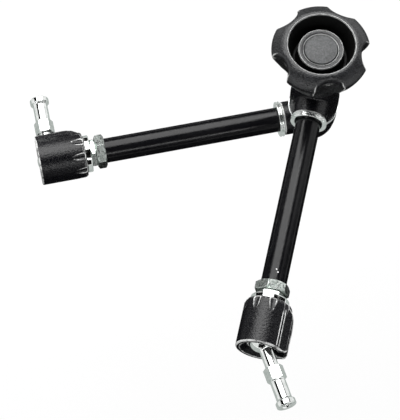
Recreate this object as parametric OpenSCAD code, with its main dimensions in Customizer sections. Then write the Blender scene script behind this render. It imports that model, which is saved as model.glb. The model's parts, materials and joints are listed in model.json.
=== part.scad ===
// Articulating friction arm: two tube arms on one elbow, a hand wheel that locks
// every joint at once, and a ball stud at the end of each arm.
// The origin is the centre of the end face of stud A, the one that is clamped, and
// that stud points along -Y. The elbow turns about a line along +Z, and both arms
// lie level. Millimetres.

/* [Arms] */
// Distance from the elbow's turning axis to the centre of each ball
arm_len = 223.8; // [190:1:260]
// Angle between the two arms, seen from above
arm_angle = 66.1; // [45:1:180]
// Outer diameter of the arm tubes
tube_d = 20.5; // [18:0.5:22]
// Wall of the arm tubes
tube_wall = 1.8; // [1.2:0.1:2.4]
// Diameter of the push rods
rod_d = 8; // [6:0.5:9]

/* [Elbow] */
// Diameter of the two elbow castings
barrel_d = 40.8; // [39:0.2:46]
// Height of arm A's axis above the seam
rise_a = 27.2; // [24:0.2:30]
// Depth of arm B's axis below the seam
drop_b = 15.1; // [14.8:0.1:17]
// Height of the upper casting's full-width part above the seam
upper_barrel_h = 38; // [35:0.5:40]
// Height of the upper casting's neck above its full-width part
neck_h = 11.5; // [9:0.5:13]
// Diameter of the upper casting's neck
neck_d = 32; // [29:0.5:36]
// Depth of the lower casting below the seam
lower_h = 31.2; // [30:0.2:36]
// Diameter of the socket stubs that hold the tubes
stub_d = 28; // [26:0.5:29]
// Reach of arm A's socket stub from the turning axis
reach_a = 28.4; // [24:0.2:31]
// Reach of arm B's socket stub from the turning axis
reach_b = 26.4; // [24:0.2:30]
// Distance from the turning axis to the seated end of each tube
tube_seat = 16; // [15:0.5:19]
// Thickness of the friction disc in the seam
disc_t = 1.6; // [1:0.1:2.4]
// How far the friction disc stands out of the castings
disc_proud = 0.5; // [0.2:0.1:1]
// Width of the bright ring at each socket stub
elbow_ring_w = 4.2; // [3:0.2:6]
// Diameter of the bright ring at each socket stub
elbow_ring_d = 29.8; // [28:0.2:32]

/* [Lock] */
// Diameter of the tie bolt
bolt_d = 10; // [8:1:10]
// Pitch of the tie bolt's thread
bolt_pitch = 1.5; // [1:0.25:2]
// Across flats of the tie bolt's head
bolt_head_af = 16; // [14:1:17]
// Height of the tie bolt's head
bolt_head_h = 6.4; // [5:0.2:7]
// Diameter of the wedges
wedge_d = 24.6; // [23:0.2:25]
// Half angle of the wedges' cones
wedge_angle = 25; // [20:1:30]
// Radius of the cones at the push rods' axes
wedge_touch_r = 9; // [8.6:0.1:9.4]
// Diameter of the wedges' noses
wedge_nose_d = 14; // [13:0.5:15]
// Diameter of the thrust washer
thrust_d = 28; // [26:0.5:31]
// Thickness of the thrust washer
thrust_t = 1.6; // [1:0.1:2.4]

/* [Hand wheel] */
// Diameter over the lobes
wheel_d = 79; // [72:1:86]
// Diameter over the lobes at the underside
wheel_foot_d = 61; // [56:1:66]
// Length of the hub under the lobes
hub_len = 19; // [17:0.5:22]
// Height of the wheel from the lobes' underside to the face
wheel_h = 33; // [31:1:37]
// Depth of the lobes' widest part below the face
edge_drop = 10; // [8:0.5:12]
// Number of lobes
lobes = 5; // [4:1:6]
// Bearing of one hollow between two lobes, from arm A
hollow_at = 21; // [0:1:71]
// Radius of the hollows
hollow_r = 13.5; // [11:0.5:15]
// Distance from the turning axis to the bottom of a hollow, at the top
hollow_in_top = 33.4; // [32:0.2:34]
// Distance from the turning axis to the bottom of a hollow, at the underside
hollow_in_foot = 26.4; // [25:0.2:27]
// Diameter of the recess in the face
recess_d = 53.4; // [50:0.2:55]
// Diameter of the recess at its floor
recess_floor_d = 44; // [42.5:0.5:50]
// Thickness of the wheel's floor under the recess
web_t = 9; // [7:0.5:12]
// Diameter of the centre boss
boss_d = 36.2; // [34:0.2:38]
// Depth of the centre boss below the rim
boss_drop = 8.7; // [6:0.1:10]
// Diameter of the hub under the lobes
hub_d = 43; // [38:0.5:45]
// Diameter of the cap in the centre boss
cap_d = 27; // [24:0.2:29]
// Thickness of the cap
cap_t = 2; // [1.5:0.1:2.5]
// Diameter of the threaded bush in the hub
bush_d = 18; // [16:0.5:20]
// Length of the threaded bush
bush_len = 32; // [24:1:34]

/* [Heads] */
// Diameter of the heads
head_d = 38.2; // [36.2:0.2:39]
// Distance from the ball's centre to the head's mouth
mouth_reach = 10; // [9.6:0.1:10.6]
// Length of the heads
head_len = 39; // [37.5:0.5:41]
// Diameter of the mouth at the rim
mouth_d = 31.6; // [30:0.2:33]
// Half width of the narrowest ring in front of the ball
lip_r = 9.8; // [9.6:0.1:10.2]
// Width of the slot in the side of each head
slot_w = 12.4; // [12:0.1:13]
// Reach of the slot's cheeks from the arm's axis
cheek_reach = 22; // [21.5:0.1:23]
// Half width of the cheeks where they leave the head
cheek_half = 9.9; // [9:0.1:11]
// Number of steps round the head between flutes
flute_steps = 9; // [7:1:11]
// Length of the flutes
flute_len = 12; // [9:0.5:14]
// Depth of the flutes at the end of the head
flute_depth = 1.7; // [1:0.1:2]
// Radius of the flutes
flute_r = 3.6; // [3:0.1:4]
// Length of the tube nut
tube_nut_len = 8; // [6:0.5:10]
// Across flats of the tube nut
tube_nut_af = 24.8; // [23.6:0.1:27]
// Turn of arm A's tube nut about its arm
nut_turn_a = 46; // [0:1:59]
// Turn of arm B's tube nut about its arm
nut_turn_b = 26; // [0:1:59]
// Length of the sleeve's hexagon
sleeve_hex_len = 4.4; // [3:0.2:6]
// Across flats of the sleeve's hexagon
sleeve_hex_af = 21.4; // [21:0.1:23]
// Width of the bright ring behind each head
head_ring_w = 4.8; // [3.5:0.1:6]
// Diameter of the bright ring behind each head
head_ring_d = 31; // [29:0.2:32]
// Diameter of the sleeve's thread in the head
sleeve_d = 25; // [24.2:0.1:25.6]
// Length of the sleeve's thread in the head
sleeve_grip = 11; // [9:0.5:11.5]
// Length of the sleeve's spigot in the tube
spigot_len = 18; // [12:1:26]

/* [Ball studs] */
// Diameter of the balls
ball_d = 22; // [21.6:0.1:22.4]
// Diameter of the shank between ball and hexagon
shank_d = 10.6; // [9:0.1:10.8]
// Diameter of the stud's end, which the clamp grips
stud_d = 15.9; // [15:0.1:16.5]
// Diameter of the stud's groove
groove_d = 12.3; // [11:0.1:13]
// Distance from the ball's centre to the hexagon
hex_from = 24.9; // [24.4:0.1:26]
// Length of the hexagon
hex_len = 11.5; // [10:0.1:14]
// Across flats of the hexagon
hex_af = 14; // [13.6:0.1:15]
// Length of the groove
groove_len = 16.5; // [13:0.1:18]
// Length of the stud's end
end_len = 5.2; // [4.6:0.1:8]
// Diameter of the threaded hole in the stud's end
end_hole_d = 8; // [6:0.1:9]
// Depth of the threaded hole in the stud's end
end_hole_len = 14; // [8:1:18]
// Lean of stud A from its arm
lean_a = 31; // [0:1:90]
// Lean of stud B from its arm
lean_b = 90; // [0:1:90]

/* [Clearances] */
// Gap all round a piece that is held in another
seat_gap = 0.05; // [0.02:0.01:0.1]
// Gap all round a piece that slides or turns in another
slide_gap = 0.2; // [0.1:0.05:0.3]
// Gap all round a thread
thread_gap = 0.06; // [0.03:0.01:0.1]
// Gap between the ball and what it turns in
ball_gap = 0.12; // [0.05:0.01:0.2]
// Gap between faces that meet while the arm is locked
touch_gap = 0.1; // [0.05:0.05:0.2]

/* [Hidden] */
$fn = 48;

stud_len = hex_from + hex_len + groove_len + end_len;
dir_a = -90 - lean_a;
dir_b = dir_a - arm_angle;
elbow_at = [-arm_len * cos(dir_a), stud_len - arm_len * sin(dir_a), -rise_a];

tube_r = tube_d / 2;
bore_r = tube_r - tube_wall;
barrel_r = barrel_d / 2;
mouth_at = arm_len + mouth_reach;
head_from = mouth_at - head_len;
hex_to = head_from - head_ring_w;
nut_to = hex_to - sleeve_hex_len;
nut_from = nut_to - tube_nut_len;
sleeve_to = head_from + sleeve_grip;
pad_from = sleeve_to + 0.8;
rod_gap_r = rod_d / 2 + slide_gap;
ball_r = ball_d / 2;
head_r = head_d / 2;
cavity_r = ball_r + ball_gap;
slot_r = slot_w / 2;

wedge_r = wedge_d / 2;
wedge_bore_r = wedge_r + slide_gap;
cone_rise = (wedge_r - wedge_touch_r) / tan(wedge_angle);
cone_fall = (wedge_touch_r - wedge_nose_d / 2) / tan(wedge_angle);
wall_in_seam = 3.2;
nose_len = drop_b - cone_fall - disc_t / 2 - wall_in_seam - 2 * slide_gap;
bolt_r = bolt_d / 2;
bolt_way_r = bolt_r + slide_gap + 0.05;
neck_top = upper_barrel_h + neck_h;
thrust_from = neck_top + 0.8;
hub_from = thrust_from + thrust_t + touch_gap;
wheel_foot = hub_from + hub_len;
wheel_top = wheel_foot + wheel_h;
wheel_edge = wheel_top - edge_drop;
recess_floor = wheel_foot + web_t;
hollow_over = 5;
boss_top = wheel_top - boss_drop;
rod_nose = 1.5;
rod_from = wedge_touch_r + rod_nose * tan(wedge_angle) + touch_gap;
thread_depth = 0.6 * bolt_pitch;
lower_stem = lower_h - drop_b - 0.6;
bolt_top = boss_top - cap_t - 4;
hollow_lean = atan((hollow_in_top - hollow_in_foot) / wheel_h);

BLACK_ENAMEL = "#17181a";
BLACK_PLASTIC = "#26282b";
BLACK_ANODISED = "#101114";
CHROME = "#dfe3e2";
ZINC = "#b9c3bd";
STEEL = "#8f9498";
BRASS = "#b9994f";
NYLON = "#d8d6c8";

// Puts the seam and the turning axis at the local origin.
module at_elbow() {
    translate([elbow_at.x, elbow_at.y, elbow_at.z]) children();
}

// Arm frames: local +X runs out along the arm, local +Y points to the slot.
module at_arm_a() {
    at_elbow() translate([0, 0, rise_a]) rotate([0, 0, dir_a]) children();
}

module at_arm_b() {
    at_elbow() translate([0, 0, -drop_b]) rotate([0, 0, dir_b]) rotate([180, 0, 0]) children();
}

// Stud frame: local +X runs out of the ball along the stud.
module at_ball(lean) {
    translate([arm_len, 0, 0]) rotate([0, 0, lean]) children();
}

// A solid turned about local +X from points of [distance along X, radius].
module turned_x(points) {
    rotate([0, 90, 0]) rotate([0, 0, 90]) rotate_extrude()
        polygon([for (p = points) [p.y, p.x]]);
}

// A round bar or hole along local +X.
module bar_x(from, to, r) {
    translate([from, 0, 0]) rotate([0, 90, 0]) cylinder(h = to - from, r = r);
}

// A hexagonal bar along local +X with one flat up, its ends turned to a cone.
module hex_x(from, to, af) {
    corner_r = af / 2 / cos(30);
    face_r = 0.97 * af / 2;
    rise = (corner_r + 0.2 - face_r) * tan(30);
    intersection() {
        translate([from - 1, 0, 0]) rotate([0, 90, 0]) rotate([0, 0, 30])
            cylinder(h = to - from + 2, r = corner_r, $fn = 6);
        rotate([10, 0, 0]) turned_x([[from, 0], [from, face_r], [from + rise, corner_r + 0.2],
                                     [to - rise, corner_r + 0.2], [to, face_r], [to, 0]]);
    }
}

// What the socket of an elbow casting removes: the tube's seat and the rod's way.
module socket_bore(reach) {
    bar_x(tube_seat, reach + 1, tube_r + seat_gap);
    bar_x(0, tube_seat + 1, rod_gap_r + slide_gap);
}

module socket_stub(reach) {
    turned_x([[0, 0], [0, stub_d / 2], [reach - 0.8, stub_d / 2], [reach, stub_d / 2 - 0.8],
              [reach, 0]]);
}

module upper_elbow() color(BLACK_ENAMEL) {
    difference() {
        union() {
            at_elbow() rotate_extrude() polygon([
                [0, disc_t / 2], [barrel_r, disc_t / 2], [barrel_r, upper_barrel_h - 17],
                [barrel_r - 0.7, upper_barrel_h - 12], [barrel_r - 1.7, upper_barrel_h - 6],
                [neck_d / 2 + 1.2, upper_barrel_h], [neck_d / 2, upper_barrel_h + 4],
                [neck_d / 2, neck_top - 0.8], [neck_d / 2 - 0.8, neck_top], [0, neck_top]]);
            at_arm_a() socket_stub(reach_a);
        }
        at_elbow() {
            translate([0, 0, rise_a - cone_fall - nose_len - 1])
                cylinder(h = neck_top, r = wedge_bore_r);
            cylinder(h = neck_top, r = bolt_way_r);
        }
        at_arm_a() socket_bore(reach_a);
    }
}

module lower_elbow() color(BLACK_ENAMEL) {
    difference() {
        union() {
            at_elbow() rotate_extrude() polygon([
                [0, -disc_t / 2], [barrel_r, -disc_t / 2], [barrel_r, 25 - lower_h],
                [barrel_r - 0.8, 15 - lower_h], [barrel_r - 2, 7.2 - lower_h],
                [barrel_r - 3.6, 2.2 - lower_h], [barrel_r - 5.6, -lower_h], [0, -lower_h]]);
            at_arm_b() socket_stub(reach_b);
        }
        at_elbow() {
            translate([0, 0, -lower_h - 1])
                cylinder(h = lower_h + 1 - disc_t / 2 - wall_in_seam, r = wedge_bore_r);
            translate([0, 0, -lower_h]) cylinder(h = lower_h, r = bolt_way_r);
        }
        at_arm_b() socket_bore(reach_b);
    }
}

module friction_disc() color(CHROME) {
    at_elbow() difference() {
        translate([0, 0, -disc_t / 2]) cylinder(h = disc_t, r = barrel_r + disc_proud);
        translate([0, 0, -disc_t]) cylinder(h = 2 * disc_t, r = bolt_way_r);
    }
}

// Cone, nose and stem of a wedge, nose down, its cone's rod level at the origin.
module wedge_body(stem) {
    rotate_extrude() polygon([
        [bolt_way_r, -cone_fall - nose_len], [wedge_nose_d / 2, -cone_fall - nose_len],
        [wedge_nose_d / 2, -cone_fall], [wedge_r, cone_rise], [wedge_r, stem], [bolt_way_r, stem]]);
}

module upper_wedge() color(STEEL) {
    at_elbow() translate([0, 0, rise_a]) wedge_body(thrust_from - rise_a);
}

module lower_wedge() color(STEEL) {
    at_elbow() translate([0, 0, -drop_b]) mirror([0, 0, 1]) difference() {
        wedge_body(lower_stem);
        translate([0, 0, lower_stem - bolt_head_h])
            cylinder(h = bolt_head_h + 1, r = (bolt_head_af / 2 + slide_gap) / cos(30), $fn = 6);
    }
}

module tie_bolt() color(STEEL) {
    at_elbow() {
        translate([0, 0, -drop_b - lower_stem + 0.3])
            cylinder(h = bolt_head_h - 0.4, r = bolt_head_af / 2 / cos(30), $fn = 6);
        rotate_extrude() polygon([
            [0, bolt_head_h - drop_b - lower_stem - 1], [bolt_r, bolt_head_h - drop_b - lower_stem - 1],
            [bolt_r, bolt_top - thread_depth], [bolt_r - thread_depth, bolt_top], [0, bolt_top]]);
    }
}

module thrust_washer() color(ZINC) {
    at_elbow() translate([0, 0, thrust_from]) difference() {
        cylinder(h = thrust_t, r = thrust_d / 2);
        translate([0, 0, -1]) cylinder(h = thrust_t + 2, r = bolt_way_r);
    }
}

module knob() color(BLACK_PLASTIC) {
    at_elbow() difference() {
        rotate_extrude() polygon([
            [0, hub_from], [hub_d / 2 - 1.5, hub_from], [hub_d / 2, hub_from + 1.5],
            [hub_d / 2 + 1.5, wheel_foot - 5], [hub_d / 2 + 4, wheel_foot],
            [wheel_foot_d / 2 - 1, wheel_foot], [wheel_foot_d / 2, wheel_foot + 1],
            [wheel_d / 2 - 0.7, wheel_edge - 4], [wheel_d / 2, wheel_edge],
            [wheel_d / 2 - 0.8, wheel_edge + 2], [wheel_d / 2 - 3.4, wheel_edge + 5.6],
            [recess_d / 2 + 5, wheel_top - 1], [recess_d / 2 + 1.2, wheel_top],
            [recess_d / 2, wheel_top - 0.6], [recess_floor_d / 2, recess_floor],
            [boss_d / 2 + 1, recess_floor], [boss_d / 2, boss_top - 0.6],
            [boss_d / 2 - 0.6, boss_top], [0, boss_top]]);
        for (i = [0 : lobes - 1]) rotate([0, 0, dir_a + hollow_at + i * 360 / lobes])
            translate([hollow_in_foot + hollow_r, 0, wheel_foot])
                rotate([0, hollow_lean, 0]) translate([0, 0, -3 * hollow_over])
                    cylinder(h = wheel_h + 4 * hollow_over, r = hollow_r);
        translate([0, 0, hub_from - 1]) cylinder(h = bush_len + 1, r = bush_d / 2 + seat_gap);
        translate([0, 0, hub_from]) cylinder(h = bolt_top + 1.5 - hub_from, r = bolt_r + 1);
        translate([0, 0, boss_top - cap_t]) cylinder(h = cap_t + 1, r = cap_d / 2 + seat_gap);
    }
}

module knob_cap() color(BLACK_PLASTIC) {
    at_elbow() translate([0, 0, boss_top - cap_t]) rotate_extrude() polygon([
        [0, 0], [cap_d / 2, 0], [cap_d / 2, cap_t - 0.3], [cap_d / 2 - 0.4, cap_t + 0.1],
        [cap_d / 4, cap_t + 0.5], [0, cap_t + 0.6]]);
}

module knob_bush() color(BRASS) {
    at_elbow() translate([0, 0, hub_from]) difference() {
        cylinder(h = bush_len, r = bush_d / 2);
        translate([0, 0, -1]) cylinder(h = bush_len + 2, r = bolt_r + thread_gap);
    }
}

// The pieces of one arm, in the arm frame

module tube() color(BLACK_ANODISED) {
    difference() {
        bar_x(tube_seat, nut_to, tube_r);
        bar_x(tube_seat - 1, nut_to + 1, bore_r);
    }
}

module elbow_ring(from) color(CHROME) {
    turned_x([[from, tube_r + seat_gap], [from, elbow_ring_d / 2 - 1],
              [from + 0.9, elbow_ring_d / 2], [from + elbow_ring_w - 0.9, elbow_ring_d / 2],
              [from + elbow_ring_w, elbow_ring_d / 2 - 1],
              [from + elbow_ring_w, tube_r + seat_gap]]);
}

module push_rod() color(STEEL) {
    turned_x([[rod_from, 0], [rod_from, rod_nose], [rod_from + rod_d / 2 - rod_nose, rod_d / 2],
              [pad_from, rod_d / 2], [pad_from, 0]]);
}

module pressure_pad() color(NYLON) {
    difference() {
        bar_x(pad_from, arm_len - ball_r / 2, ball_r - touch_gap);
        translate([arm_len, 0, 0]) sphere(r = ball_r + touch_gap);
    }
}

module tube_nut(turn) color(ZINC) {
    difference() {
        rotate([turn, 0, 0]) hex_x(nut_from, nut_to, tube_nut_af);
        bar_x(nut_from - 1, nut_to + 1, tube_r + seat_gap);
    }
}

module head_sleeve() color(ZINC) {
    difference() {
        union() {
            bar_x(nut_to - spigot_len, nut_to + 1, bore_r - seat_gap);
            hex_x(nut_to, hex_to, sleeve_hex_af);
            turned_x([[hex_to - 1, 0], [hex_to - 1, bore_r], [hex_to, bore_r], [hex_to, sleeve_d / 2],
                      [sleeve_to - 1, sleeve_d / 2], [sleeve_to, sleeve_d / 2 - 1], [sleeve_to, 0]]);
        }
        bar_x(nut_to - spigot_len - 1, sleeve_to + 1, rod_gap_r);
    }
}

module head_ring() color(CHROME) {
    turned_x([[hex_to, sleeve_d / 2 + seat_gap], [hex_to, head_ring_d / 2 - 0.7],
              [hex_to + 0.7, head_ring_d / 2], [head_from, head_ring_d / 2],
              [head_from, sleeve_d / 2 + seat_gap]]);
}

module cheeks() {
    intersection() {
        translate([head_from + 4, 0, 0]) rotate([90, 0, 90])
            linear_extrude(height = head_len - 4) polygon([
                [0, -cheek_half], [head_r - 2.9, -cheek_half], [cheek_reach - 3.6, 0.8 - cheek_half],
                [cheek_reach - 1.5, 1.8 - cheek_half], [cheek_reach, -slot_r - 0.4],
                [cheek_reach, slot_r + 0.4], [cheek_reach - 1.5, cheek_half - 1.8],
                [cheek_reach - 3.6, cheek_half - 0.8], [head_r - 2.9, cheek_half],
                [0, cheek_half]]);
        translate([0, 0, -cheek_half - 1]) linear_extrude(height = 2 * cheek_half + 2) polygon([
            [head_from, 0], [head_from + 4, head_r - 1.5], [head_from + 7, cheek_reach - 2],
            [head_from + 11, cheek_reach - 0.6], [head_from + 15, cheek_reach],
            [mouth_at - 3, cheek_reach], [mouth_at - 0.8, cheek_reach - 1],
            [mouth_at, cheek_reach - 2], [mouth_at, 0]]);
    }
}

module flutes() {
    for (i = [1 : flute_steps - 1]) rotate([i * 360 / flute_steps, 0, 0])
        translate([head_from, head_r + flute_r - flute_depth, 0])
            rotate([0, 0, atan(flute_depth / flute_len)])
                bar_x(-3, flute_len * 2, flute_r);
}

module ball_housing() color(BLACK_ENAMEL) {
    lip_at = sqrt(pow(cavity_r, 2) - pow(lip_r, 2));
    flare = (mouth_d / 2 - 0.7 - lip_r) / (mouth_reach - 0.7 - lip_at);
    difference() {
        union() {
            turned_x([[head_from, 0], [head_from, head_r - 1.4], [head_from + 1.5, head_r - 0.3],
                      [head_from + 3, head_r], [mouth_at - 0.8, head_r],
                      [mouth_at, head_r - 0.8], [mouth_at, 0]]);
            cheeks();
        }
        bar_x(head_from - 1, sleeve_to + 0.4, sleeve_d / 2 + thread_gap);
        bar_x(head_from, arm_len, cavity_r);
        translate([arm_len, 0, 0]) sphere(r = cavity_r);
        turned_x([[arm_len + lip_at - 2, 0], [arm_len + lip_at - 2, lip_r - 2 * flare],
                  [mouth_at - 0.7, mouth_d / 2 - 0.7], [mouth_at + 0.01, mouth_d / 2],
                  [mouth_at + 1, mouth_d / 2], [mouth_at + 1, 0]]);
        translate([arm_len, 0, -slot_r]) cube([mouth_reach + 1, cheek_reach + 1, slot_w]);
        translate([arm_len, 0, 0]) rotate([-90, 0, 0]) cylinder(h = cheek_reach + 1, r = slot_r);
        flutes();
    }
}

module ball_shank() color(CHROME) {
    rotate([0, 90, 0]) sphere(r = ball_r);
    turned_x([[0, 0], [0, shank_d / 2], [hex_from - 0.4, shank_d / 2],
              [hex_from, shank_d / 2 - 0.4], [hex_from, 0]]);
}

module stud() color(CHROME) {
    groove_from = hex_from + hex_len;
    end_from = groove_from + groove_len;
    difference() {
        union() {
            hex_x(hex_from, groove_from, hex_af);
            turned_x([[groove_from - 1, 0], [groove_from - 1, groove_d / 2 + 0.5],
                      [groove_from, groove_d / 2 + 0.5], [groove_from + 0.6, groove_d / 2],
                      [end_from - 1, groove_d / 2], [end_from, groove_d / 2 + 0.8],
                      [end_from + 0.3, stud_d / 2 - 0.5], [end_from + 0.8, stud_d / 2],
                      [stud_len - 1, stud_d / 2], [stud_len, stud_d / 2 - 1], [stud_len, 0]]);
        }
        bar_x(stud_len - end_hole_len, stud_len + 1, end_hole_d / 2);
    }
}

module tube_a() at_arm_a() tube();
module elbow_ring_a() at_arm_a() elbow_ring(reach_a);
module push_rod_a() at_arm_a() push_rod();
module pressure_pad_a() at_arm_a() pressure_pad();
module tube_nut_a() at_arm_a() tube_nut(nut_turn_a);
module head_sleeve_a() at_arm_a() head_sleeve();
module head_ring_a() at_arm_a() head_ring();
module ball_housing_a() at_arm_a() ball_housing();
module ball_shank_a() at_arm_a() at_ball(lean_a) ball_shank();
module stud_a() at_arm_a() at_ball(lean_a) stud();

module tube_b() at_arm_b() tube();
module elbow_ring_b() at_arm_b() elbow_ring(reach_b);
module push_rod_b() at_arm_b() push_rod();
module pressure_pad_b() at_arm_b() pressure_pad();
module tube_nut_b() at_arm_b() tube_nut(nut_turn_b);
module head_sleeve_b() at_arm_b() head_sleeve();
module head_ring_b() at_arm_b() head_ring();
module ball_housing_b() at_arm_b() ball_housing();
module ball_shank_b() at_arm_b() at_ball(lean_b) ball_shank();
module stud_b() at_arm_b() at_ball(lean_b) stud();

knob();
knob_cap();
knob_bush();
thrust_washer();
upper_wedge();
upper_elbow();
friction_disc();
lower_elbow();
lower_wedge();
tie_bolt();
tube_a();
elbow_ring_a();
push_rod_a();
pressure_pad_a();
tube_nut_a();
head_sleeve_a();
head_ring_a();
ball_housing_a();
ball_shank_a();
stud_a();
tube_b();
elbow_ring_b();
push_rod_b();
pressure_pad_b();
tube_nut_b();
head_sleeve_b();
head_ring_b();
ball_housing_b();
ball_shank_b();
stud_b();
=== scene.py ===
import bpy
import bmesh
import json
from math import acos, cos, pi, radians, sin, sqrt, tan
from mathutils import Matrix, Vector

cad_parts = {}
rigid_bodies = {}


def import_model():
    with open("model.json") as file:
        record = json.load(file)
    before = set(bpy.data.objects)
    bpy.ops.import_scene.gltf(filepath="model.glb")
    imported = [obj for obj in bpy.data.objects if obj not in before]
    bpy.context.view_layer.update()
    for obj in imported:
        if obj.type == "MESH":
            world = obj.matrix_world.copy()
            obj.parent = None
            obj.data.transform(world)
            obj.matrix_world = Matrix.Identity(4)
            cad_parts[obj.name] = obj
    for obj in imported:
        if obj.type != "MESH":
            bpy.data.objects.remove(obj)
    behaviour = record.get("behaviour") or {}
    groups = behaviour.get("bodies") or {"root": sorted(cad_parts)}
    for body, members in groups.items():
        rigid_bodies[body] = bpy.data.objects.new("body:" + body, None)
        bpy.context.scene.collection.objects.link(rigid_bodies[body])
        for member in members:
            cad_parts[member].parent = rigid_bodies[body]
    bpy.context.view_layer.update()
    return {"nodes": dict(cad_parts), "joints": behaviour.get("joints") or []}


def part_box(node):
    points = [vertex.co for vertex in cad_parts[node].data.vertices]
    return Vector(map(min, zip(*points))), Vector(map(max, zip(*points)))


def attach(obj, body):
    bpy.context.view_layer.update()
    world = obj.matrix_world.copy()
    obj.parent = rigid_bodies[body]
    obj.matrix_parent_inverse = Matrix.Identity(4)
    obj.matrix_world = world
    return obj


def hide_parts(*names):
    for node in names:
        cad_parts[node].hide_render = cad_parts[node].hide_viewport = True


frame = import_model()
joints = {joint["name"]: joint for joint in frame["joints"]}

# The two elbow castings are aluminium, cast in halves that meet at the seam. They are
# dipped in black wrinkle enamel, so every edge is soft and the skin is finely knotted.


def finish(name, colour, metallic=0.0, roughness=0.4, ior=1.45):
    """A new material; what is the same all over it is set on the shader itself."""
    material = bpy.data.materials.new(name)
    material.use_nodes = True
    shader = material.node_tree.nodes["Principled BSDF"]
    shader.inputs["Base Color"].default_value = (*colour, 1)
    shader.inputs["Metallic"].default_value = metallic
    shader.inputs["Roughness"].default_value = roughness
    shader.inputs["IOR"].default_value = ior
    material.diffuse_color = (*colour, 1)
    return material


def grain_of(material, size, stretch, rough, kind):
    """A noise or a pebble pattern of one size in millimetres, fixed to the piece."""
    nodes, links = material.node_tree.nodes, material.node_tree.links
    scale = nodes.new("ShaderNodeMapping")
    scale.inputs["Scale"].default_value = [1000 / size * way for way in stretch]
    if stretch == (1, 1, 1):
        links.new(nodes.new("ShaderNodeTexCoord").outputs["Object"], scale.inputs["Vector"])
    else:
        turned_place = nodes.new("ShaderNodeAttribute")
        turned_place.attribute_name = "turned_place"
        links.new(turned_place.outputs["Vector"], scale.inputs["Vector"])
    if kind == "pebble":
        grain = nodes.new("ShaderNodeTexVoronoi")
        grain.feature = "SMOOTH_F1"
        grain.inputs["Scale"].default_value = 1
        grain.inputs["Smoothness"].default_value = 0.6
        value = grain.outputs["Distance"]
    else:
        grain = nodes.new("ShaderNodeTexNoise")
        grain.inputs["Scale"].default_value = 1
        grain.inputs["Detail"].default_value = 3
        grain.inputs["Roughness"].default_value = rough
        value = grain.outputs["Fac"]
    links.new(scale.outputs["Vector"], grain.inputs["Vector"])
    return value


def mottle(material, socket, size, low, high, stretch=(1, 1, 1), rough=0.5, kind="noise",
           spread=(0.35, 0.65)):
    """Lets a colour or a number wander between two values over the surface."""
    nodes, links = material.node_tree.nodes, material.node_tree.links
    value = grain_of(material, size, stretch, rough, kind)
    shader = nodes["Principled BSDF"]
    if isinstance(low, tuple):
        ramp = nodes.new("ShaderNodeValToRGB")
        for stop, at, colour in zip(ramp.color_ramp.elements, spread, (low, high)):
            stop.position = at
            stop.color = (*colour, 1)
        links.new(value, ramp.inputs["Fac"])
        links.new(ramp.outputs["Color"], shader.inputs[socket])
    else:
        ramp = nodes.new("ShaderNodeMapRange")
        ramp.inputs["From Min"].default_value, ramp.inputs["From Max"].default_value = spread
        ramp.inputs["To Min"].default_value = low
        ramp.inputs["To Max"].default_value = high
        links.new(value, ramp.inputs["Value"])
        links.new(ramp.outputs["Result"], shader.inputs[socket])


def relief(material, size, height, stretch=(1, 1, 1), rough=0.5, kind="noise"):
    """Raises a fine pattern out of the surface, its height in millimetres."""
    nodes, links = material.node_tree.nodes, material.node_tree.links
    shader = nodes["Principled BSDF"]
    bump = nodes.new("ShaderNodeBump")
    bump.inputs["Strength"].default_value = 1
    bump.inputs["Distance"].default_value = height / 1000
    links.new(grain_of(material, size, stretch, rough, kind), bump.inputs["Height"])
    if shader.inputs["Normal"].is_linked:
        links.new(shader.inputs["Normal"].links[0].from_socket, bump.inputs["Normal"])
    links.new(bump.outputs["Normal"], shader.inputs["Normal"])


def mark_edges(data):
    """Keeps for each point how sharply the skin turns outwards there, in turns per mm."""
    shell = bmesh.new()
    shell.from_mesh(data)
    middles = [face.calc_center_median() for face in shell.faces]
    sharpest = [0.0] * len(shell.verts)
    for edge in shell.edges:
        if len(edge.link_faces) == 2:
            one, other = edge.link_faces
            apart = (middles[one.index] - middles[other.index]).length
            bend = edge.calc_face_angle_signed(0) / max(apart * 1000, 0.02)
            for point in edge.verts:
                sharpest[point.index] = max(sharpest[point.index], bend)
    shell.free()
    kept = data.attributes.get("edge_bend") or data.attributes.new("edge_bend", "FLOAT", "POINT")
    kept.data.foreach_set("value", sharpest)


def blend_skin(material, share, colour, roughness):
    """Lets another skin show through a material by a share from 0 to 1."""
    links = material.node_tree.links
    shader = material.node_tree.nodes["Principled BSDF"]
    for socket, pale_part, kind in (("Base Color", (*colour, 1), "RGBA"),
                               ("Roughness", roughness, "FLOAT")):
        mix = material.node_tree.nodes.new("ShaderNodeMix")
        mix.data_type = kind
        ends = [end for end in mix.inputs if end.enabled and end.name in "AB"]
        links.new(shader.inputs[socket].links[0].from_socket, ends[0])
        ends[1].default_value = pale_part
        links.new(share, mix.inputs["Factor"])
        result = [end for end in mix.outputs if end.enabled][0]
        links.new(result, shader.inputs[socket])


def painted_edge_highlight(material, colour, roughness, start, full, size, least):
    """Paints a highlight as a paler, smoother skin where an edge is sharper than the start.

    It comes and goes along the edge, down to the least share.
    """
    nodes, links = material.node_tree.nodes, material.node_tree.links
    edge = nodes.new("ShaderNodeAttribute")
    edge.attribute_name = "edge_bend"
    pale_part = nodes.new("ShaderNodeMapRange")
    pale_part.inputs["From Min"].default_value = start
    pale_part.inputs["From Max"].default_value = full
    links.new(edge.outputs["Fac"], pale_part.inputs["Value"])
    patchy = nodes.new("ShaderNodeMapRange")
    patchy.inputs["From Min"].default_value = 0.35
    patchy.inputs["From Max"].default_value = 0.55
    patchy.inputs["To Min"].default_value = least
    links.new(grain_of(material, size, (1, 1, 1), 0.5, "noise"), patchy.inputs["Value"])
    share = nodes.new("ShaderNodeMath")
    share.operation = "MULTIPLY"
    links.new(pale_part.outputs["Result"], share.inputs[0])
    links.new(patchy.outputs["Result"], share.inputs[1])
    blend_skin(material, share.outputs[0], colour, roughness)


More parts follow.
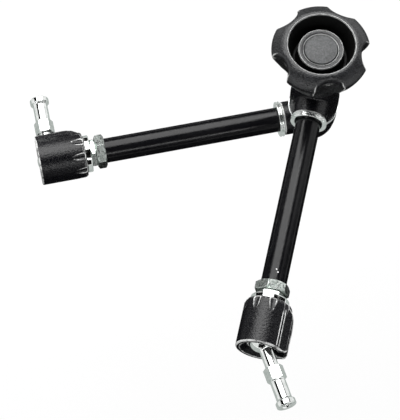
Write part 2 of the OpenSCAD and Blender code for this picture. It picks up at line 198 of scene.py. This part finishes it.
def cast(name, node, voxel, softening):
    """The casting of one CAD node, its edges rounded as in a mould."""
    raw = bpy.data.objects.new(name + "_raw", frame["nodes"][node].data.copy())
    bpy.context.scene.collection.objects.link(raw)
    shell = bmesh.new()
    shell.from_mesh(raw.data)
    bmesh.ops.remove_doubles(shell, verts=shell.verts, dist=1e-5)
    shell.to_mesh(raw.data)
    shell.free()
    grid = raw.modifiers.new("mould", "REMESH")
    grid.mode = "VOXEL"
    grid.voxel_size = voxel / 1000
    soft = raw.modifiers.new("softened edges", "SMOOTH")
    soft.factor = 0.5
    soft.iterations = softening
    mesh = bpy.data.meshes.new_from_object(
        raw.evaluated_get(bpy.context.evaluated_depsgraph_get()))
    bpy.data.objects.remove(raw)
    mesh.name = name
    mesh.materials.clear()
    mesh.shade_smooth()
    mark_edges(mesh)
    piece = bpy.data.objects.new(name, mesh)
    bpy.context.scene.collection.objects.link(piece)
    return piece


enamel = finish("black_wrinkle_enamel", (0.004, 0.004, 0.005), roughness=0.42, ior=1.45)
mottle(enamel, "Base Color", 1.3, (0.001, 0.001, 0.002), (0.006, 0.006, 0.008))
mottle(enamel, "Roughness", 1.1, 0.14, 0.34)
relief(enamel, 1.5, 0.3, rough=0.6)
relief(enamel, 0.8, 0.14)
# Painted highlight: a pale, smooth line along the castings' and heads' sharp edges, as on the flutes
# and beads.
painted_edge_highlight(enamel, (0.85, 0.86, 0.85), 0.25, 0.32, 0.7, 6, 0.15)

for name, node, body in (("upper_casting", "upper_elbow", "arm_a"),
                         ("lower_casting", "lower_elbow", "arm_b")):
    casting = cast(name, node, 0.5, 5)
    casting.data.materials.append(enamel)
    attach(casting, body)
    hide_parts(node)

# The friction disc is a washer of ground steel plate between the two castings. Only its
# edge stands out of the seam, as a bright line.


def rounded(corners, steps=4):
    """An outline of (along, radius) corners; a third number cuts that corner round."""
    points = []
    for i, corner in enumerate(corners):
        here = Vector(corner[:2])
        if len(corner) == 2:
            points.append(here)
            continue
        start, end = (here + (Vector(corners[(i + way) % len(corners)][:2]) - here).normalized()
                      * corner[2] for way in (-1, 1))
        for step in range(steps + 1):
            t = step / steps
            points.append(start * (1 - t) ** 2 + here * 2 * t * (1 - t) + end * t ** 2)
    return points


def stepped(points, step):
    """The same outline with no side longer than the step."""
    fine = [points[0]]
    for point in points[1:]:
        start = fine[-1]
        parts = max(1, round((point - start).length / step))
        fine += [start.lerp(point, part / parts) for part in range(1, parts + 1)]
    return fine


def even(count):
    return [2 * pi * i / count for i in range(count)]


def turned(name, outline, place, angles, material, shape=None):
    """A piece turned about local X from an outline in millimetres.

    An outline that starts and ends on the axis is a solid, and any other is a ring that
    closes on itself. The shape gives a point's radius where the piece isn't round. The
    grain that runs along or round the piece goes by where a point was on the lathe.
    """
    solid = outline[0].y == 0 and outline[-1].y == 0
    mesh = bmesh.new()
    rows = []
    for along, radius in (outline[1:-1] if solid else outline):
        row = []
        for angle in angles:
            r = shape(angle, along, radius) if shape else radius
            row.append(mesh.verts.new((along / 1000, r * cos(angle) / 1000,
                                       r * sin(angle) / 1000)))
        rows.append(row)
    for one, other in list(zip(rows, rows[1:])) + ([] if solid else [(rows[-1], rows[0])]):
        for i, corner in enumerate(one):
            j = (i + 1) % len(angles)
            mesh.faces.new((corner, one[j], other[j], other[i]))
    for row, end in ((rows[0], outline[0]), (rows[-1], outline[-1])) if solid else ():
        pole = mesh.verts.new((end.x / 1000, 0, 0))
        for i, corner in enumerate(row):
            mesh.faces.new((corner, row[(i + 1) % len(angles)], pole))
    bmesh.ops.remove_doubles(mesh, verts=mesh.verts, dist=2e-6)
    bmesh.ops.recalc_face_normals(mesh, faces=mesh.faces)
    data = bpy.data.meshes.new(name)
    mesh.to_mesh(data)
    mesh.free()
    on_lathe = data.attributes.new("turned_place", "FLOAT_VECTOR", "POINT")
    for point, kept in zip(data.vertices, on_lathe.data):
        kept.vector = point.co
    data.transform(place)
    data.shade_smooth()
    mark_edges(data)
    data.materials.append(material)
    piece = bpy.data.objects.new(name, data)
    bpy.context.scene.collection.objects.link(piece)
    piece.modifiers.new("even shading", "WEIGHTED_NORMAL")
    return piece


def frame_at(origin, along, side):
    """A local frame at the origin, with X along the piece and Z to the given side."""
    x = Vector(along).normalized()
    z = (Vector(side) - x * x.dot(Vector(side))).normalized()
    return Matrix.Translation(origin) @ Matrix((x, z.cross(x), z)).transposed().to_4x4()


ball_a = Vector(joints["ball_a_tilt"]["pos_m"])
ball_b = Vector(joints["ball_b_tilt"]["pos_m"])
low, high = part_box("friction_disc")
seam = (low + high) / 2
elbow_top = Vector((seam.x, seam.y, ball_a.z))
elbow_foot = Vector((seam.x, seam.y, ball_b.z))
arm_a = frame_at(elbow_top, ball_a - elbow_top, (0, 0, 1))
arm_b = frame_at(elbow_foot, ball_b - elbow_foot, (0, 0, -1))
# On the elbow, X is up and angles count from arm A.
elbow = frame_at(seam, (0, 0, 1), Vector((0, 0, 1)).cross(ball_a - elbow_top))

ground_steel = finish("ground_steel", (0.72, 0.73, 0.73), metallic=1, roughness=0.16)
mottle(ground_steel, "Roughness", 0.5, 0.1, 0.24, stretch=(1, 0.1, 0.1))
mottle(ground_steel, "Base Color", 2, (0.66, 0.67, 0.67), (0.8, 0.81, 0.81))
relief(ground_steel, 0.3, 0.01, stretch=(1, 0.1, 0.1))

friction_disc = turned(
    "friction_disc_plate",
    rounded([(-0.8, 5.3), (-0.8, 20.9, 0.25), (0.8, 20.9, 0.25), (0.8, 5.3)]),
    elbow, even(96), ground_steel)
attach(friction_disc, "arm_b")
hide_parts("friction_disc")

# The lock's inner pieces are plain turned steel, oiled: the tie bolt, its two wedges,
# the thrust washer under the wheel and the rods in the tubes. The pads on the balls are
# nylon, and the bush in the wheel is brass. They keep their CAD shapes.

oiled_steel = finish("oiled_steel", (0.42, 0.42, 0.41), metallic=1, roughness=0.34)
mottle(oiled_steel, "Base Color", 3, (0.34, 0.34, 0.33), (0.5, 0.5, 0.49))
mottle(oiled_steel, "Roughness", 1.5, 0.25, 0.42)
relief(oiled_steel, 0.35, 0.012)

turned_brass = finish("turned_brass", (0.6, 0.44, 0.17), metallic=1, roughness=0.3)
mottle(turned_brass, "Base Color", 3, (0.54, 0.38, 0.14), (0.68, 0.5, 0.2))
mottle(turned_brass, "Roughness", 1, 0.22, 0.36)

nylon = finish("nylon", (0.66, 0.63, 0.55), roughness=0.45, ior=1.53)
mottle(nylon, "Base Color", 4, (0.62, 0.6, 0.52), (0.7, 0.67, 0.59))
mottle(nylon, "Roughness", 0.8, 0.38, 0.52)

for material, nodes in (
        (oiled_steel, ("tie_bolt", "upper_wedge", "lower_wedge", "thrust_washer",
                       "push_rod_a", "push_rod_b")),
        (turned_brass, ("knob_bush",)),
        (nylon, ("pressure_pad_a", "pressure_pad_b"))):
    for node in nodes:
        for slot in frame["nodes"][node].material_slots:
            slot.material = material

# The hand wheel is one moulding of black glass-filled plastic with five finger hollows
# and a deep recess round a centre boss. The mould's spark-eroded skin gives it a fine
# grain that shines grey where the light falls on it.

LOBES = 5
HOLLOW_R = 13.5
HOLLOW_BEARING = radians(21)


def blend_min(one, other, width):
    """The smaller of two radii, rounded over where they cross."""
    near = max(width - abs(one - other), 0) / width
    return min(one, other) - near * near * width / 4


def finger_hollows(angle, along, radius):
    """Cuts the five hollows, whose axes lean out towards the face."""
    middle = 26.4 + HOLLOW_R + (along - 71) * 7 / 33
    turn = 2 * pi / LOBES
    off = (angle - HOLLOW_BEARING + turn / 2) % turn - turn / 2
    reach = HOLLOW_R ** 2 - (middle * sin(off)) ** 2
    if along < 62 or reach <= 0:
        return radius
    return blend_min(radius, middle * cos(off) - sqrt(reach), 6)


wheel_plastic = finish("wheel_plastic", (0.02, 0.021, 0.022), roughness=0.42, ior=1.5)
mottle(wheel_plastic, "Base Color", 1.2, (0.004, 0.0043, 0.0046), (0.03, 0.031, 0.034),
       rough=0.8, spread=(0.42, 0.6))
mottle(wheel_plastic, "Roughness", 0.8, 0.2, 0.4)
relief(wheel_plastic, 0.9, 0.2, kind="pebble")
# Painted highlight: pale lines along the wheel's sharp rims, as round the recess and the boss.
painted_edge_highlight(wheel_plastic, (0.75, 0.76, 0.75), 0.25, 0.35, 0.8, 4, 0.6)

# Painted shade for the wheel's deep recess: a darker, duller plastic.
recess_painted_shade = finish("recess_painted_shade", (0.003, 0.003, 0.003), roughness=0.5, ior=1.3)
mottle(recess_painted_shade, "Base Color", 1.2, (0.002, 0.002, 0.002), (0.006, 0.006, 0.006))
mottle(recess_painted_shade, "Roughness", 0.8, 0.4, 0.6)
relief(recess_painted_shade, 0.7, 0.12, kind="pebble")

wheel = turned(
    "hand_wheel",
    stepped(rounded([
        (90.8, 0), (90.8, 6), (84, 6), (84, 9.05), (52, 9.05), (52, 20), (53.5, 21.5, 0.8),
        (66, 23, 2), (71, 25.5, 2), (71, 30, 0.6), (73, 31.2, 0.8), (90, 38.8, 3),
        (94, 39.5, 1.5), (96.5, 38.6, 1.4), (99.6, 36, 1.6), (102.6, 32.3, 2),
        (104, 29, 1.2), (103.9, 27.2, 0.2), (103.4, 26.6, 0.2), (80, 22.1, 1.2),
        (80, 19.2, 1), (94.7, 18.1, 0.2), (95.3, 17.5, 0.2), (95.3, 15.4, 1), (94.6, 13.9),
        (93.3, 13.9), (93.3, 0)]), 1.2),
    elbow, even(320), wheel_plastic, finger_hollows)
# Painted shade: the recess gets a darker colour than the grained face, and a duller skin.
wheel.data.materials.append(recess_painted_shade)
for face in wheel.data.polygons:
    on_lathe = [wheel.data.attributes["turned_place"].data[point].vector
                for point in face.vertices]
    along = max(point.x for point in on_lathe) * 1000
    radii = [sqrt(point.y ** 2 + point.z ** 2) * 1000 for point in on_lathe]
    if 79 < along < 103.1 and 18.3 < max(radii) < 26.65:
        face.material_index = 1
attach(wheel, "hand_wheel")
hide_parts("knob")

# The cap is a pressed disc of grey plastic, pushed into the wheel's boss over the bolt.
# Its printed badge is left bare.

cap_plastic = finish("cap_plastic", (0.04, 0.042, 0.043), roughness=0.35, ior=1.5)
mottle(cap_plastic, "Base Color", 1.3, (0.01, 0.011, 0.012), (0.06, 0.064, 0.066), rough=0.8,
       spread=(0.43, 0.57))
mottle(cap_plastic, "Roughness", 0.9, 0.26, 0.5)
relief(cap_plastic, 0.9, 0.14)

wheel_cap = turned(
    "wheel_cap",
    rounded([(93.3, 0), (93.3, 13.2), (95, 13.2, 0.3), (95.4, 12.8, 0.3), (95.2, 12.1, 0.3),
             (95.75, 7, 2), (95.85, 0)]),
    elbow, even(96), cap_plastic)
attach(wheel_cap, "hand_wheel")
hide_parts("knob_cap")

# Each arm is drawn aluminium tube, anodised black with a satin gloss, its cut ends just
# broken. It is glued in the elbow's socket. Two small pale, smoother spots lie near the nut.

black_tube = finish("black_anodised", (0.004, 0.004, 0.005), roughness=0.22, ior=1.36)
mottle(black_tube, "Base Color", 4, (0.003, 0.003, 0.004), (0.006, 0.006, 0.007),
       stretch=(0.3, 1, 1))
mottle(black_tube, "Roughness", 1.6, 0.1, 0.26, stretch=(0.5, 1, 1))
relief(black_tube, 1.1, 0.06, rough=0.7)
# Painted highlight: a pale line along the tube's sharp edges.
painted_edge_highlight(black_tube, (0.6, 0.6, 0.6), 0.3, 0.8, 1.4, 2, 0.4)
for spot in ((168.1, 0.3, 10.25), (170.3, 1.8, 10.09)):
    nodes, links = black_tube.node_tree.nodes, black_tube.node_tree.links
    on_lathe = nodes.new("ShaderNodeAttribute")
    on_lathe.attribute_name = "turned_place"
    away = nodes.new("ShaderNodeVectorMath")
    away.operation = "DISTANCE"
    away.inputs[1].default_value = Vector(spot) / 1000
    links.new(on_lathe.outputs["Vector"], away.inputs[0])
    inside = nodes.new("ShaderNodeMath")
    inside.operation = "LESS_THAN"
    inside.inputs[1].default_value = 0.0006
    links.new(away.outputs["Value"], inside.inputs[0])
    blend_skin(black_tube, inside.outputs[0], (0.9, 0.9, 0.9), 0.3)

for side, arm in (("a", arm_a), ("b", arm_b)):
    tube = turned("arm_tube_" + side,
                  rounded([(16, 8.5, 0.2), (16, 10.25, 0.4), (185.5, 10.25, 0.4), (185.5, 8.5, 0.2)]),
                  arm, even(96), black_tube)
    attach(tube, "arm_" + side)
    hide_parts("tube_" + side)

# The bright rings are turned brass, chromed. The one at the elbow hides the joint of tube
# and socket; the one behind the head is the seat that the head turns against.

chrome = finish("chrome", (0.82, 0.83, 0.82), metallic=1, roughness=0.08)
mottle(chrome, "Roughness", 2.5, 0.06, 0.12)
mottle(chrome, "Base Color", 3, (0.7, 0.73, 0.71), (0.9, 0.91, 0.9))
relief(chrome, 0.9, 0.006, stretch=(1, 0.25, 0.25))

for side, arm, head, foot in (("a", arm_a, "head_a", 28.4), ("b", arm_b, "head_b", 26.4)):
    ring = turned("elbow_ring_" + side + "_chromed",
                  rounded([(foot + 0.05, 10.6), (foot + 0.05, 13.9, 0.4), (foot + 0.5, 14.9, 0.5),
                           (foot + 1.5, 14.9, 0.4), (foot + 1.7, 14.2, 0.2),
                           (foot + 2.5, 14.2, 0.2), (foot + 2.7, 14.9, 0.4),
                           (foot + 3.7, 14.9, 0.5), (foot + 4.15, 13.9, 0.4),
                           (foot + 4.15, 10.6)]),
                  arm, even(96), chrome)
    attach(ring, "arm_" + side)
    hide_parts("elbow_ring_" + side)

    seat = turned("head_ring_" + side + "_chromed",
                  rounded([(190.05, 12.6), (190.05, 15, 0.5), (190.8, 15.5, 0.4),
                           (194.1, 15.5, 0.4), (194.75, 15.1, 0.3), (194.75, 12.6)]),
                  arm, even(96), chrome)
    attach(seat, head)
    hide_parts("head_ring_" + side)

# The tube nut and the head sleeve are steel from hexagon bar, turned, chamfered and zinc
# plated. The nut clamps the tube's end on the sleeve, and the sleeve's thread holds the
# head.

hexagon_angles = sorted(
    radians(60 * side + way * off) % (2 * pi)
    for side in range(6)
    for off in (0, 0.5, 1, 1.7, 2.6, 4.5, 7.5, 11, 15, 20, 25, 30)
    for way in ((1, -1) if 0 < off < 30 else (1,)))


def hexagon(start, end, across, turn=0.0):
    """Flats between two stations, with one corner at the turn."""
    def shape(angle, along, radius):
        if not start <= along <= end:
            return radius
        off = (angle - turn) % (pi / 3) - pi / 6
        return blend_min(radius, across / 2 / cos(off), 0.25)
    return shape


def hexagon_corners(start, end, across):
    """Outline of a hexagon's bar with both ends turned to a cone."""
    corner, face = across / 2 / cos(pi / 6) + 0.1, 0.97 * across / 2
    rise = (corner - face) * tan(pi / 6)
    return stepped([Vector((start, face)), Vector((start + rise, corner)),
                    Vector((end - rise, corner)), Vector((end, face))], 0.2)


zinc = finish("zinc_plate", (0.7, 0.76, 0.72), metallic=1, roughness=0.3)
mottle(zinc, "Base Color", 2.2, (0.5, 0.57, 0.53), (0.86, 0.9, 0.87), rough=0.7)
mottle(zinc, "Roughness", 1.6, 0.24, 0.42)
relief(zinc, 1.6, 0.05)

for side, arm, turn in (("a", arm_a, radians(46)), ("b", arm_b, radians(26))):
    nut = turned("tube_nut_" + side + "_plated",
                 [Vector((177.65, 10.6))] + hexagon_corners(177.65, 185.55, 24.8)
                 + [Vector((185.55, 10.6))],
                 arm, [angle + turn for angle in hexagon_angles], zinc,
                 hexagon(177, 186, 24.8, turn))
    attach(nut, "arm_" + side)
    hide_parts("tube_nut_" + side)

    sleeve = turned("head_sleeve_" + side + "_plated",
                    rounded([(167.65, 4.25), (167.65, 8.4, 0.4), (185.6, 8.4)])
                    + hexagon_corners(185.61, 190, 21.4)
                    + rounded([(190.01, 12.45), (205.3, 12.45, 0.5), (205.8, 11.8, 0.3),
                               (205.8, 4.25)]),
                    arm, hexagon_angles, zinc, hexagon(185.6, 190, 21.4))
    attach(sleeve, "arm_" + side)
    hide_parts("head_sleeve_" + side)

# The heads are aluminium castings in the same black wrinkle enamel, fluted behind for a
# wrench, with a bored mouth for the ball and a slot in one side for its shank. A pair of
# thin beads runs beside the slot, their sharp edges given a painted highlight.

BEAD_BEARINGS = (radians(41), radians(49))


def add_beads(data, place):
    """Lays the two beads on a head's casting, each a strip with its foot in the skin."""
    mesh = bmesh.new()
    mesh.from_mesh(data)
    for bearing in BEAD_BEARINGS:
        rows = []
        for along in range(201, 233):
            row = []
            for radius, off in ((18.6, -0.4), (19.3, -0.3), (19.3, 0.3), (18.6, 0.4)):
                angle = bearing + off / radius
                row.append(mesh.verts.new(place @ Vector((
                    along / 1000, radius * cos(angle) / 1000, radius * sin(angle) / 1000))))
            rows.append(row)
        for one, other in zip(rows, rows[1:]):
            for i in range(4):
                mesh.faces.new((one[i], one[(i + 1) % 4], other[(i + 1) % 4], other[i]))
        mesh.faces.new(rows[0])
        mesh.faces.new(reversed(rows[-1]))
    bmesh.ops.recalc_face_normals(mesh, faces=mesh.faces)
    mesh.to_mesh(data)
    mesh.free()


for side, arm in (("a", arm_a), ("b", arm_b)):
    head = cast("head_casting_" + side, "ball_housing_" + side, 0.45, 5)
    add_beads(head.data, arm)
    mark_edges(head.data)
    head.data.materials.append(enamel)
    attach(head, "head_" + side)
    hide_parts("ball_housing_" + side)

# The balls and their shanks are turned from one steel bar, hardened and chromed. A little
# fillet joins the two.


def ball_outline(ball, shank, end):
    """From the far side of the ball to the end of its shank."""
    join = acos(shank * 1.12 / ball)
    turn_of = [pi * i / 48 for i in range(49)]
    points = [Vector((-ball * cos(turn), ball * sin(turn)))
              for turn in turn_of if turn < pi / 2 + join]
    points[0].y = 0
    foot = ball * sin(join)
    points += rounded([(foot, shank * 1.12), (foot + 0.9, shank, 0.5), (end - 0.5, shank)])
    return points + [Vector((end, shank - 0.5)), Vector((end, 0))]


stud_frames = {}
for side, ball, arm, stud in (("a", ball_a, arm_a, "stud_a_spin"),
                              ("b", ball_b, arm_b, "stud_b_spin")):
    along = Vector(joints[stud]["axis"])
    stud_frames[side] = frame_at(ball, along, arm.col[2][:3])
    shank = turned("ball_" + side + "_chromed", ball_outline(10.96, 5.3, 24.9),
                   stud_frames[side], even(96), chrome)
    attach(shank, "ball_" + side)
    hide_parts("ball_shank_" + side)

# The clamping studs are 16 mm steel from hexagon bar, grooved for a clamp's screw and
# chromed. Their ends are drilled and tapped, and the thread's first turn is broken.

THREAD_PITCH = 1.25


def stud_shape(angle, along, radius):
    """Flats on the hexagon, and a thread in the hole of the end."""
    if 24.9 <= along <= 36.4:
        return hexagon(24.9, 36.4, 14)(angle, along, radius)
    if radius < 4.31 and along < 57.05:
        turn = (along / THREAD_PITCH - angle / (2 * pi)) % 1
        return radius - 0.6 * (1 - abs(2 * turn - 1))
    return radius


stud_outline = (
    [Vector((44.2, 0)), Vector((45.3, 3.4))]
    + stepped([Vector((45.4, 4.3)), Vector((57, 4.3))], 0.2)
    + rounded([(58.09, 5.2), (58.09, 7.2, 0.3), (57.4, 7.92, 0.3), (53.8, 7.92, 0.3),
               (53.2, 7.4, 0.3), (52.9, 6.9, 0.2), (51.9, 6.15, 0.4), (37.1, 6.15, 0.4),
               (36.5, 6.6)])
    + [point for point in reversed(hexagon_corners(24.95, 36.35, 14))] + [Vector((24.95, 0))])

for side, body in (("a", "clamped_stud"), ("b", "free_stud")):
    stud = turned("stud_" + side + "_chromed", stud_outline, stud_frames[side],
                  hexagon_angles, chrome, stud_shape)
    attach(stud, body)
    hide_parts("stud_" + side)

# The studio, laid out as the camera stands: a big soft light behind and to the left, a
# small one behind to the right and a strip in front, over a white floor. Black cloth with
# windows in it, which only gloss sees, draws the dark edges and the stripes in the chrome.

CAMERA_BEARING = radians(-20.03)
studio = Matrix.Translation((0, 0.2, 0)) @ Matrix.Rotation(CAMERA_BEARING, 4, "Z")


def facing_matrix(middle, towards, way):
    """Stands a flat thing at a point of the studio, with local Z to or from another."""
    middle = studio @ Vector(middle)
    line = (studio @ Vector(towards) - middle) * way
    return Matrix.Translation(middle) @ line.to_track_quat("Z", "Y").to_matrix().to_4x4()


def lamp(name, middle, facing, width, height, radiance):
    light = bpy.data.lights.new(name, "AREA")
    light.shape = "RECTANGLE"
    light.size, light.size_y = width, height
    light.energy = radiance * width * height * pi
    piece = bpy.data.objects.new(name, light)
    bpy.context.scene.collection.objects.link(piece)
    piece.matrix_world = facing_matrix(middle, facing, -1)
    return piece


def white_to_lens(tree, plain):
    """A strength of 1 for the camera, gloss and glass, and the plain level for the rest."""
    seen = tree.nodes.new("ShaderNodeLightPath")
    either = tree.nodes.new("ShaderNodeMath")
    either.operation = "MAXIMUM"
    tree.links.new(seen.outputs["Is Camera Ray"], either.inputs[0])
    tree.links.new(seen.outputs["Is Glossy Ray"], either.inputs[1])
    any_of = tree.nodes.new("ShaderNodeMath")
    any_of.operation = "MAXIMUM"
    tree.links.new(either.outputs[0], any_of.inputs[0])
    tree.links.new(seen.outputs["Is Transmission Ray"], any_of.inputs[1])
    level = tree.nodes.new("ShaderNodeMapRange")
    level.inputs["To Min"].default_value = plain
    level.inputs["To Max"].default_value = 1
    tree.links.new(any_of.outputs[0], level.inputs["Value"])
    return level.outputs["Result"]


def stage_piece(name, points, faces, material):
    mesh = bpy.data.meshes.new(name)
    mesh.from_pydata(points, [], faces)
    mesh.materials.append(material)
    piece = bpy.data.objects.new(name, mesh)
    bpy.context.scene.collection.objects.link(piece)
    piece.matrix_world = studio
    return piece


scene = bpy.context.scene
scene.view_settings.view_transform = "Standard"
world = bpy.data.worlds.new("studio")
scene.world = world
world.use_nodes = True
background = world.node_tree.nodes["Background"]
background.inputs["Color"].default_value = (1, 1, 1, 1)
world.node_tree.links.new(white_to_lens(world.node_tree, 0.3), background.inputs["Strength"])

paper = finish("white_paper", (0.9, 0.9, 0.9), roughness=0.9)
mottle(paper, "Base Color", 400, (0.88, 0.88, 0.88), (0.92, 0.92, 0.92))
tree = paper.node_tree
glow = tree.nodes.new("ShaderNodeEmission")
glow.inputs["Strength"].default_value = 1
mix = tree.nodes.new("ShaderNodeMixShader")
part = tree.nodes.new("ShaderNodeMath")
part.operation = "MULTIPLY"
part.inputs[1].default_value = 0.85
tree.links.new(white_to_lens(tree, 0), part.inputs[0])
tree.links.new(part.outputs[0], mix.inputs["Fac"])
tree.links.new(tree.nodes["Principled BSDF"].outputs["BSDF"], mix.inputs[1])
tree.links.new(glow.outputs["Emission"], mix.inputs[2])
tree.links.new(mix.outputs["Shader"], tree.nodes["Material Output"].inputs["Surface"])
stage_piece("floor", [(-6, -6, -0.4), (6, -6, -0.4), (6, 6, -0.4), (-6, 6, -0.4)],
            [(0, 1, 2, 3)], paper)

lamp("soft_light", (-0.4, 1.08, 1.2), (-0.4, 1.08, 0), 1.3, 2.04, 4.5)
lamp("right_light", (0.4, 0.82, 0.98), (0.06, 0.08, 0), 0.5, 0.5, 2.5)
lamp("front_strip", (0, -1.0, 0.62), (0, 0.06, 0), 1.6, 0.2, 4)

# White card under the chromed pieces, which the black ones don't mirror.
bright = bpy.data.collections.new("chromed_pieces")
for piece in scene.objects:
    if piece.material_slots and piece.material_slots[0].material in (chrome, ground_steel):
        bright.objects.link(piece)
card = lamp("white_card", (0, 0.15, -0.27), (0, 0.15, 1), 2.4, 2.4, 0.52)
card.data.color = (0.94, 1, 0.97)
card.visible_camera = False
card.light_linking.receiver_collection = bright

# Windows in the cloth, as zenith angles and bearings; bearing 0 is away from the camera
# and 90 is to its right.
WINDOWS = ((24, 45, 15, 50), (49, 104, 15, 75), (63, 104, -110, -70), (62, 104, 95, 155),
           (62, 104, -160, -110), (70, 104, -50, -20))
cloth = finish("black_cloth", (0.002, 0.002, 0.002), roughness=1)
mottle(cloth, "Base Color", 30, (0.001, 0.001, 0.001), (0.003, 0.003, 0.003))


def on_tent(zenith, bearing, reach=2.6):
    zenith, bearing = radians(zenith), radians(bearing)
    return (reach * sin(zenith) * sin(bearing), reach * sin(zenith) * cos(bearing),
            reach * cos(zenith))


zeniths = [0.3] + list(range(1, 105))
bearings = list(range(-180, 180, 5))
points = [on_tent(zenith, bearing) for zenith in zeniths for bearing in bearings]
faces = []
for row, zenith in enumerate(zeniths[:-1]):
    for column, bearing in enumerate(bearings):
        if not any(a <= zenith < b and c <= bearing < d for a, b, c, d in WINDOWS):
            right = (column + 1) % len(bearings)
            faces.append((row * 72 + column, row * 72 + right, (row + 1) * 72 + right,
                          (row + 1) * 72 + column))
tent = stage_piece("tent_cloth", points, faces, cloth)
rim = [(1.2 * sin(angle), 1.2 * cos(angle), -0.3) for angle in even(48)]
under = stage_piece("cloth_under", rim, [tuple(range(48))], cloth)
for piece in (tent, under):
    piece.visible_camera = False
    piece.visible_diffuse = False
    piece.visible_shadow = False
    piece.visible_transmission = False

camera = bpy.data.cameras.new("camera")
camera.sensor_width = 36
camera.sensor_fit = "HORIZONTAL"
camera.lens = 170.3
viewpoint = bpy.data.objects.new("camera", camera)
scene.collection.objects.link(viewpoint)
turn = (Matrix.Rotation(CAMERA_BEARING, 4, "Z") @ Matrix.Rotation(radians(24.355), 4, "X")
        @ Matrix.Rotation(radians(1.341), 4, "Z"))
viewpoint.matrix_world = (Matrix.Translation((0, 0.20459, -0.06435)) @ turn
                          @ Matrix.Translation((0, 0, 1.58368)))
scene.camera = viewpoint
